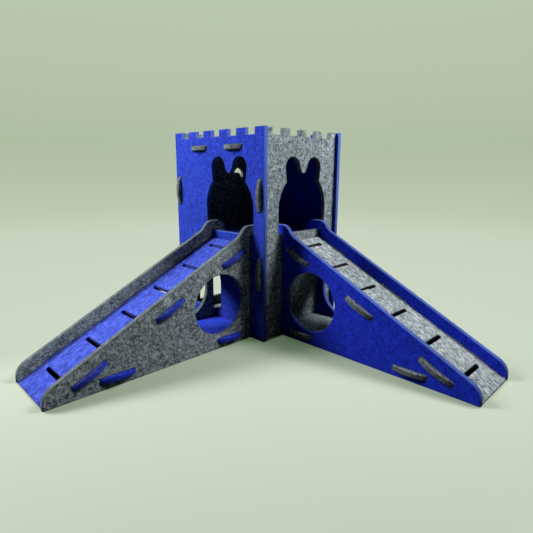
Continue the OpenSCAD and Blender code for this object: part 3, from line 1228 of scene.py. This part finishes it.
@dataclass
class Ramp:
    """A lift-off ramp: two side boards with a tunnel hole, a slide with grip slots and a tunnel floor.

    Places named first are from a board's end at the wall, and those named last from its far end.
    """

    body: Body
    place: Matrix
    sides: FeltFinish
    crosswise: FeltFinish
    tread: FeltFinish
    near_side: int
    gap: float = 0.4 * MM
    width: float = 67 * MM
    length: float = 211 * MM
    slide_line: float = 104 * MM
    slide_foot: float = 1.5 * MM
    rail: float = 12.5 * MM
    rail_taper: float = 2.5 * MM
    tip_radius: float = 15 * MM
    nose_radius: float = 12.5 * MM
    nose_reach: float = 19 * MM
    nose_flat: float = 6 * MM
    nose_height: float = 10.4 * MM
    hollow: float = 16 * MM
    hook: float = 106.4 * MM
    hook_gap: float = 0.6 * MM
    tunnel_end: float = 9.6 * MM
    tunnel_base: float = 14.8 * MM
    tunnel_bite: float = 0.6 * MM
    floor: float = 5.5 * MM
    floor_margin: float = 1 * MM
    slide_tab: float = 32 * MM
    first_slide_tab: float = 23 * MM
    last_slide_tab: float = 40 * MM
    floor_tab: float = 31 * MM
    first_floor_tab: float = 29 * MM
    floor_tab_share: float = 0.84
    grips: int = 6
    first_grip: float = 13 * MM
    last_grip: float = 23 * MM
    grip_length: float = 34 * MM
    grip_width: float = 4 * MM

    def __post_init__(self) -> None:
        """Works out the slope and what follows from it."""
        self.slope = math.atan2(self.slide_line - self.slide_foot, self.length)
        sin, cos, tan = math.sin(self.slope), math.cos(self.slope), math.tan(self.slope)
        start = self.gap + FELT * sin
        self.slide_start = (start, self.slide_line - start * tan)
        self.slide_length = (self.length - start) / cos
        self.rail_slope = math.atan(tan + self.rail_taper / self.length)
        self.inner_width = self.width - 2 * FELT - 2 * BUTT
        self.under_line = self.slide_line - FELT / cos
        self.rail_line = self.slide_line + self.rail / cos
        first, last = self.first_slide_tab, self.slide_length - self.last_slide_tab
        self.slide_tabs = (first, (first + last) / 2, last)
        self.floor_end = (self.under_line - self.floor - FELT) / tan - self.floor_margin
        self.floor_tabs = (self.first_floor_tab, self.floor_tab_share * self.floor_end)

    def footprint(self) -> Spans:
        """The ground that the ramp covers, without its noses.

        Returns:
            Its spans along X and Y.
        """
        half = self.width / 2
        ends = [self.place @ Vector((x, y, 0)) for x, y in ((0, -half), (self.length, half))]
        return tuple((min(end[i] for end in ends), max(end[i] for end in ends)) for i in range(2))

    def side_outline(self) -> Loop:
        """The side board's outline, from the wall to the tip and back over the nose.

        Returns:
            The outline, anticlockwise.
        """
        sin, cos, tan = math.sin(self.rail_slope), math.cos(self.rail_slope), math.tan(self.rail_slope)
        lean = 90 - math.degrees(self.rail_slope)
        tip = self.length - self.tip_radius
        tip_z = self.rail_line - tip * tan - self.tip_radius / cos
        nose, r = self.nose_radius - self.nose_reach, self.nose_radius
        nose_z = SILL + self.nose_height - r
        outer = nose + self.nose_flat
        over = self.hollow + (self.rail_line - outer * tan - nose_z) * cos
        run = math.sqrt((r + self.hollow) ** 2 - over**2)
        hollow = (outer + run * cos + over * sin, nose_z - run * sin + over * cos)
        join = math.degrees(math.atan2(hollow[1] - nose_z, hollow[0] - outer))
        behind = -FELT - self.hook_gap
        over_sill = SILL + self.gap
        outline = [
            (self.gap, 0),
            (self.length, 0),
            *arc((tip, tip_z), self.tip_radius, 0, lean, steps=16),
            *arc(hollow, self.hollow, 180 + lean, 180 + join, steps=10),
            *arc((outer, nose_z), r, join, 90, steps=12),
            *arc((nose, nose_z), r, 90, 180, steps=16),
            (-self.nose_reach, self.hook),
            (behind, self.hook),
            (behind, over_sill),
            (self.gap, over_sill),
        ]
        return without_doubles(outline)

    def side_holes(self) -> list[Loop]:
        """The tunnel hole and the slots for the slide and the tunnel floor.

        Returns:
            The holes' outlines.
        """
        cos, tan = math.cos(self.slope), math.tan(self.slope)
        rise = self.under_line + self.tunnel_bite / cos - self.tunnel_end * tan - self.tunnel_base
        leg = rise / tan
        radius = (rise + leg - math.hypot(rise, leg)) / 2
        tunnel = circle_loop((self.tunnel_end + radius, self.tunnel_base + radius), radius, steps=84)
        thick, slide_slot, floor_slot = (size + 2 * FIT for size in (FELT, self.slide_tab, self.floor_tab))
        holes = [tunnel]
        for u in self.slide_tabs:
            slot = box_loop(u - self.slide_tab / 2 - FIT, -FELT - FIT, slide_slot, thick)
            holes.append(turned(slot, self.slide_start, -math.degrees(self.slope)))
        for s in self.floor_tabs:
            holes.append(box_loop(s - self.floor_tab / 2 - FIT, self.floor - FIT, floor_slot, thick))
        return holes

    def build(self) -> list[Board]:
        """Lays out the two side boards.

        Returns:
            The boards, not yet meshes.
        """
        across = (self.width - FELT) / 2
        outline, holes = self.side_outline(), self.side_holes()
        boards = []
        for label, side in (("near", self.near_side), ("far", -self.near_side)):
            place = self.place @ upright_across_y(side * across - FELT / 2)
            node = f"{self.body.value}_{label}_side"
            boards.append(Board(node, outline, holes, place, self.sides, self.body))
        return boards

    def crosswise_boards(self, tool: SlottedBoardTool) -> dict[str, bpy.types.Object]:
        """Makes the slide and the tunnel floor with the slotted board tree.

        Args:
            tool: The tree.

        Returns:
            CAD node name to the board's object.
        """
        sin, cos = math.sin(self.slope), math.cos(self.slope)
        x, z = self.slide_start
        tilted = (cos, 0, sin, x - FELT * sin), (0, 1, 0, 0), (-sin, 0, cos, z - FELT * cos), (0, 0, 0, 1)
        slide = {
            "Felt": self.tread.material(),
            "Length": self.slide_length,
            "Slots": self.grips,
            "First Slot": self.first_grip,
            "Slot Pitch": (self.slide_length - self.first_grip - self.last_grip) / (self.grips - 1),
            "Slot Length": self.grip_length,
            "Slot Width": self.grip_width,
            **self.tab_sizes(self.slide_tabs, 0.0, self.slide_tab),
        }
        floor = {
            "Felt": self.crosswise.material(),
            "Length": self.floor_end - self.gap,
            "Slots": 0,
            **self.tab_sizes(self.floor_tabs, self.gap, self.floor_tab),
        }
        slide_node, floor_node = self.body.value + "_slide", self.body.value + "_floor"
        floor_place = self.place @ Matrix.Translation((self.gap, 0, self.floor))
        slide_board = softened(tool, slide_node + "_felt", slide, self.place @ Matrix(tilted))
        floor_board = softened(tool, floor_node + "_felt", floor, floor_place)
        return {slide_node: cut_flush(slide_board), floor_node: floor_board}

    def tab_sizes(self, places: tuple[float, ...], start: float, length: float) -> dict[str, float]:
        """The tree's inputs for a crosswise board's section and tabs.

        Args:
            places: The tabs' middles, evenly spaced.
            start: Where the board starts.
            length: The tabs' length.

        Returns:
            Input name to value.
        """
        return {
            "Width": self.inner_width,
            "Thickness": FELT,
            "Tabs": len(places),
            "First Tab": places[0] - start,
            "Tab Pitch": (places[-1] - places[0]) / (len(places) - 1),
            "Tab Length": length,
            "Tab Neck": Tab.neck,
            "Tab Bow": Tab.bow,
        }


def cut_flush(board: bpy.types.Object) -> bpy.types.Object:
    """A board cut flush with the ground and closed there.

    Args:
        board: The board's object.

    Returns:
        The same object.
    """
    mesh = bmesh.new()
    mesh.from_mesh(board.data)
    whole = [*mesh.verts, *mesh.edges, *mesh.faces]
    bmesh.ops.bisect_plane(mesh, geom=whole, plane_co=(0, 0, 0), plane_no=(0, 0, 1), clear_inner=True)
    bmesh.ops.holes_fill(mesh, edges=[e for e in mesh.edges if e.is_boundary], sides=0)
    bmesh.ops.recalc_face_normals(mesh, faces=mesh.faces)
    mesh.to_mesh(board.data)
    mesh.free()
    return board


SOFT_EDGE = 0.7 * MM
SOFT_STEPS = 3
SHARP_ANGLE = math.radians(40)


def softened(tool: SlottedBoardTool, name: str, sizes: dict, place: Matrix) -> bpy.types.Object:
    """A crosswise board with softened edges, in its place.

    Args:
        tool: The tree that makes it.
        name: Name of the piece.
        sizes: The tree's inputs.
        place: Board plane to row frame.

    Returns:
        The board's object, at the origin, with its place in its mesh.
    """
    raw = tool.run(name, bpy.data.meshes.new(name + "_start"), sizes)
    mesh = bmesh.new()
    mesh.from_mesh(raw)
    bmesh.ops.recalc_face_normals(mesh, faces=mesh.faces)
    mesh.to_mesh(raw)
    mesh.free()
    holder = bpy.data.objects.new(name + "_raw", raw)
    bpy.context.scene.collection.objects.link(holder)
    bevel = holder.modifiers.new("soft_edge", "BEVEL")
    bevel.width = SOFT_EDGE
    bevel.segments = SOFT_STEPS
    bevel.limit_method = "ANGLE"
    bevel.angle_limit = SHARP_ANGLE
    bevel.use_clamp_overlap = False
    data = settled(holder, name)
    data.transform(place)
    return bpy.data.objects.new(name, data)


@dataclass
class Nap:
    """The loose fibres on the felt, gathered by body and finish."""

    tool: LooseFibreTool
    density: float = 50000.0
    length: float = 2.6 * MM
    width: float = 0.08 * MM
    lift: float = 0.32
    first_seed: int = 101

    def strew(
        self, pieces: list[bpy.types.Object], name: str, finish: FeltFinish, number: int
    ) -> bpy.types.Object:
        """Strews fibres over some boards.

        Args:
            pieces: The boards, all of one body and finish.
            name: Name of the new piece.
            finish: The felt's finish.
            number: The scatter's number, which gives it a seed of its own.

        Returns:
            The fibres' object.
        """
        ground = bmesh.new()
        for piece in pieces:
            ground.from_mesh(piece.data)
        values = {
            "Density": self.density,
            "Length": self.length,
            "Width": self.width,
            "Lift": self.lift,
            "Seed": self.first_seed + number,
            "Fibre": finish.fibre_material(),
        }
        fibres = self.tool.run(name, plain_mesh(ground, name + "_ground"), values)
        return bpy.data.objects.new(name, fibres)


@dataclass(frozen=True)
class SoftBox:
    """A square soft light round the part: where it hangs, its side, its power and the height it aims at."""

    name: str
    bearing: float
    lift: float
    distance: float
    side: float
    power: float
    aim: float = 80 * MM

    def lamp(self) -> bpy.types.Object:
        """The light, turned to the part's middle.

        Returns:
            The lamp's object.
        """
        data = bpy.data.lights.new(self.name, "AREA")
        data.shape = "SQUARE"
        data.size = self.side
        data.energy = self.power
        a, e = math.radians(self.bearing), math.radians(self.lift)
        way = Vector((math.cos(a) * math.cos(e), math.sin(a) * math.cos(e), math.sin(e)))
        lamp = bpy.data.objects.new(self.name, data)
        lamp.location = way * self.distance + Vector((0, 0, self.aim))
        lamp.rotation_euler = way.to_track_quat("Z", "Y").to_euler()
        lamp.visible_camera = False
        return lamp


@dataclass
class Studio:
    """The pale sweep, the soft lights and the camera, round the ground that the part covers."""

    tower: Spans
    front_ramp: Spans
    right_ramp: Spans
    sweep: Colour = srgb(185, 189, 177)
    # Painted light: the open floor round the part glows a little in this green tint, by the soften share,
    # which lifts its shadows and turns them green.
    shade_tint: Colour = srgb(164, 205, 150)
    # Painted falloff of light: the glowing sweep's tone, by distance from the middle, dips into the cove and
    # rises a little up the wall.
    fade: tuple[tuple[float, Colour], ...] = (
        (0.00, srgb(206, 217, 199)),
        (0.95, srgb(200, 211, 190)),
        (1.80, srgb(186, 198, 174)),
        (2.20, srgb(176, 190, 164)),
        (2.65, srgb(186, 199, 175)),
    )
    # Painted shade: bounced light sees the paper at this share of its colour.
    bounce: float = 0.17
    soften: float = 0.20
    behind_fade: float = 0.07
    shadow_reach: float = 0.20
    even_reach: float = 0.34
    paper_roughness: float = 0.9
    paper_gloss: float = 0.1
    middle_radius: float = 0.4
    near_radius: float = 0.9
    floor_radius: float = 1.5
    cove: float = 0.9
    cove_points: int = 16
    top: float = 2.6
    spokes: int = 96
    focal: float = 429.486
    frame_size: float = 533.0
    sensor: float = 36.0
    nearest: float = 10 * MM
    eye: tuple[float, float, float] = (-255.634 * MM, -272.048 * MM, 178.273 * MM)
    heading: float = 44.911
    pitch: float = 12.832
    roll: float = 0.363
    sky: float = 0.0
    boxes: tuple[SoftBox, ...] = (
        SoftBox("left_box", bearing=124.0, lift=41.0, distance=0.75, side=0.30, power=6.1),
        SoftBox("right_box", bearing=-35.0, lift=52.0, distance=0.60, side=0.22, power=3.1),
    )

    def backdrop(self) -> bpy.types.Object:
        """A round floor that curves up into a wall.

        Returns:
            The sweep's object.
        """
        profile = [(self.middle_radius, 0.0), (self.near_radius, 0.0)]
        for a in np.linspace(0, math.pi / 2, self.cove_points):
            profile.append((self.floor_radius + self.cove * math.sin(a), self.cove * (1 - math.cos(a))))
        profile.append((self.floor_radius + self.cove, self.top))
        mesh = bmesh.new()
        turns = [2 * math.pi * i / self.spokes for i in range(self.spokes)]
        rings = [[mesh.verts.new((r * math.cos(a), r * math.sin(a), z)) for a in turns] for r, z in profile]
        mesh.faces.new(rings[0])
        for inner, outer in zip(rings, rings[1:]):
            for i in range(self.spokes):
                j = (i + 1) % self.spokes
                mesh.faces.new((inner[i], outer[i], outer[j], inner[j]))
        for face in mesh.faces:
            face.smooth = True
        data = plain_mesh(mesh, "sweep")
        data.materials.append(self.paper())
        return bpy.data.objects.new("sweep", data)

    def paper(self) -> bpy.types.Material:
        """The paper: near the part it takes the shadow and glows a little as painted light that lifts it,
        further out it glows in a tone that dips in the cove as painted falloff of light, and bounced light
        sees it dim as painted shade.

        Returns:
            The material.
        """
        material, net, shader = node_material("sweep_paper")
        path = net.add("ShaderNodeLightPath").outputs
        seen = net.math("MAXIMUM", path["Is Camera Ray"], path["Is Glossy Ray"])
        seen = net.math("MAXIMUM", seen, path["Is Transmission Ray"])
        place = net.add("ShaderNodeTexCoord").outputs["Object"]
        reach = net.add("ShaderNodeVectorMath", {0: place}, operation="LENGTH").outputs["Value"]
        there = net.add("ShaderNodeSeparateXYZ", {0: place}).outputs
        past_right = net.math("SUBTRACT", there[0], self.right_ramp[0][1])
        past_front = net.math("SUBTRACT", there[1], self.front_ramp[1][1])
        behind = self.rise(net, net.math("MAXIMUM", past_right, past_front), 0.0, self.behind_fade)
        far = net.math("MAXIMUM", behind, self.rise(net, reach, self.shadow_reach, self.even_reach))
        outside = net.math("MULTIPLY", self.open_floor(net, there), seen)
        # Painted shade: the paper looks dim to bounced light.
        dim = tuple(c * self.bounce for c in self.sweep)
        last = self.fade[-1][0]
        stops = [(distance / last, tint) for distance, tint in self.fade]
        # The glowing sweep's tone by distance: painted falloff of light in the cove.
        tone = net.ramp(net.math("DIVIDE", reach, last), stops)
        finish = {
            "Base Color": net.mix(seen, (*dim, 1), (*self.sweep, 1)),
            # Painted light: the open floor glows in the shade tint.
            "Emission Color": (*self.shade_tint, 1),
            "Emission Strength": net.math("MULTIPLY", outside, self.soften),
            "Roughness": self.paper_roughness,
            "Specular IOR Level": self.paper_gloss,
        }
        net.fill(shader, finish)
        glow = net.add("ShaderNodeEmission", {"Color": tone}).outputs[0]
        parts = {0: net.math("MULTIPLY", far, outside), 1: shader.outputs[0], 2: glow}
        even = net.add("ShaderNodeMixShader", parts).outputs[0]
        net.fill(material.node_tree.nodes["Material Output"], {"Surface": even})
        return material

    def open_floor(self, net: NodeNet, there: bpy.types.NodeOutputs) -> Socket:
        """1 on the floor round the part, 0 under the tower and the ramps.

        Args:
            net: The paper's nodes.
            there: The X, Y and Z of the place.

        Returns:
            The share's socket.
        """
        nearest = 1.0
        for spans in (self.tower, self.front_ramp, self.right_ramp):
            past = []
            for value, (low, high) in zip(there, spans):
                off_middle = net.math("ABSOLUTE", net.math("SUBTRACT", value, (low + high) / 2))
                past.append(net.math("SUBTRACT", off_middle, (high - low) / 2))
            nearest = net.math("MINIMUM", nearest, net.math("MAXIMUM", *past))
        return net.math("GREATER_THAN", nearest, 0.0)

    def rise(self, net: NodeNet, value: Socket, start: float, end: float) -> Socket:
        """A smooth rise from 0 to 1 between two values."""
        limits = {"Value": value, "From Min": start, "From Max": end}
        return net.add("ShaderNodeMapRange", limits, interpolation_type="SMOOTHSTEP").outputs[0]

    def camera(self) -> bpy.types.Object:
        """The camera at the photograph's angle.

        Returns:
            The camera's object.
        """
        a, e, r = (math.radians(v) for v in (self.heading, self.pitch, self.roll))
        ahead = Vector((math.cos(a) * math.cos(e), math.sin(a) * math.cos(e), -math.sin(e)))
        right = ahead.cross(Vector((0, 0, 1))).normalized()
        up = right.cross(ahead)
        right, up = right * math.cos(r) + up * math.sin(r), up * math.cos(r) - right * math.sin(r)
        data = bpy.data.cameras.new("camera")
        data.sensor_fit = "HORIZONTAL"
        data.sensor_width = self.sensor
        data.lens = self.sensor * self.focal / self.frame_size
        data.clip_start = self.nearest
        camera = bpy.data.objects.new("camera", data)
        turn = Matrix((right, up, -ahead)).transposed()
        camera.matrix_world = Matrix.Translation(self.eye) @ turn.to_4x4()
        return camera

    def build(self) -> None:
        """Sets up the sweep, the lamps, the world and the camera."""
        scene = bpy.context.scene
        sweep = self.backdrop()
        camera = self.camera()
        for obj in (sweep, camera, *(box.lamp() for box in self.boxes)):
            scene.collection.objects.link(obj)
        scene.camera = camera
        scene.view_settings.view_transform = "Standard"
        world = bpy.data.worlds.new("studio")
        world.use_nodes = True
        sky = world.node_tree.nodes["Background"]
        sky.inputs["Color"].default_value = (1.0, 1.0, 1.0, 1)
        sky.inputs["Strength"].default_value = self.sky
        scene.world = world


def show(piece: bpy.types.Object, body: Body, finish: FeltFinish, *nodes: str) -> None:
    """Puts a piece into the scene, on its body, and hides the CAD nodes it stands for.

    Args:
        piece: The object.
        body: The body it rides on.
        finish: Its felt; not used.
        *nodes: CAD nodes that it stands for.
    """
    bpy.context.scene.collection.objects.link(piece)
    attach(piece, body.value)
    if nodes:
        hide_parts(*nodes)
    log.info("%s: %d faces on %s", piece.name, len(piece.data.polygons), body.value)


def main() -> None:
    """Builds the tower, the ramps, the nap and the studio, and reports each piece."""
    logging.basicConfig(level=logging.INFO, format="%(name)s: %(message)s")
    tower = Tower()
    ox, oy = tower.origin
    front_place = Matrix.Translation((ox, oy + tower.front_door, 0)) @ Matrix.Rotation(math.pi, 4, "Z")
    right_door = Matrix.Translation((ox + tower.side_door, oy + tower.overhang, 0))
    right_place = right_door @ Matrix.Rotation(-math.pi / 2, 4, "Z")
    # The ramps wear lit and shaded copies of the felt: painted light on the slides and the front tunnel
    # floor, painted shade on the right ramp's sides and tunnel floor.
    front = Ramp(Body.FRONT_RAMP, front_place, GREY_FELT, BLUE_LIT_INNER, BLUE_LIT_TREAD, near_side=1)
    right = Ramp(Body.RIGHT_RAMP, right_place, BLUE_SHADED_SIDE, GREY_SHADED_INNER, GREY_LIT_TREAD, near_side=-1)
    dressed: list[tuple[bpy.types.Object, Body, FeltFinish]] = []
    for assembly in (tower, front, right):
        for board in assembly.build():
            piece = board.build()
            show(piece, board.body, board.finish, board.node)
            dressed.append((piece, board.body, board.finish))
    slotted = SlottedBoardTool()
    for ramp in (front, right):
        for node, piece in ramp.crosswise_boards(slotted).items():
            show(piece, ramp.body, ramp.crosswise, node)
            dressed.append((piece, ramp.body, ramp.crosswise))
    nap = Nap(LooseFibreTool())
    for number, (body, finish) in enumerate((b, f) for b in Body for f in (BLUE_FELT, GREY_FELT)):
        boards = [piece for piece, on, felt in dressed if on is body and felt.slot == finish.slot]
        fibres = nap.strew(boards, f"{body.value}_{finish.slot}_nap", finish, number)
        show(fibres, body, finish)
    Studio(tower.footprint(), front.footprint(), right.footprint()).build()


if __name__ == "__main__":
    main()
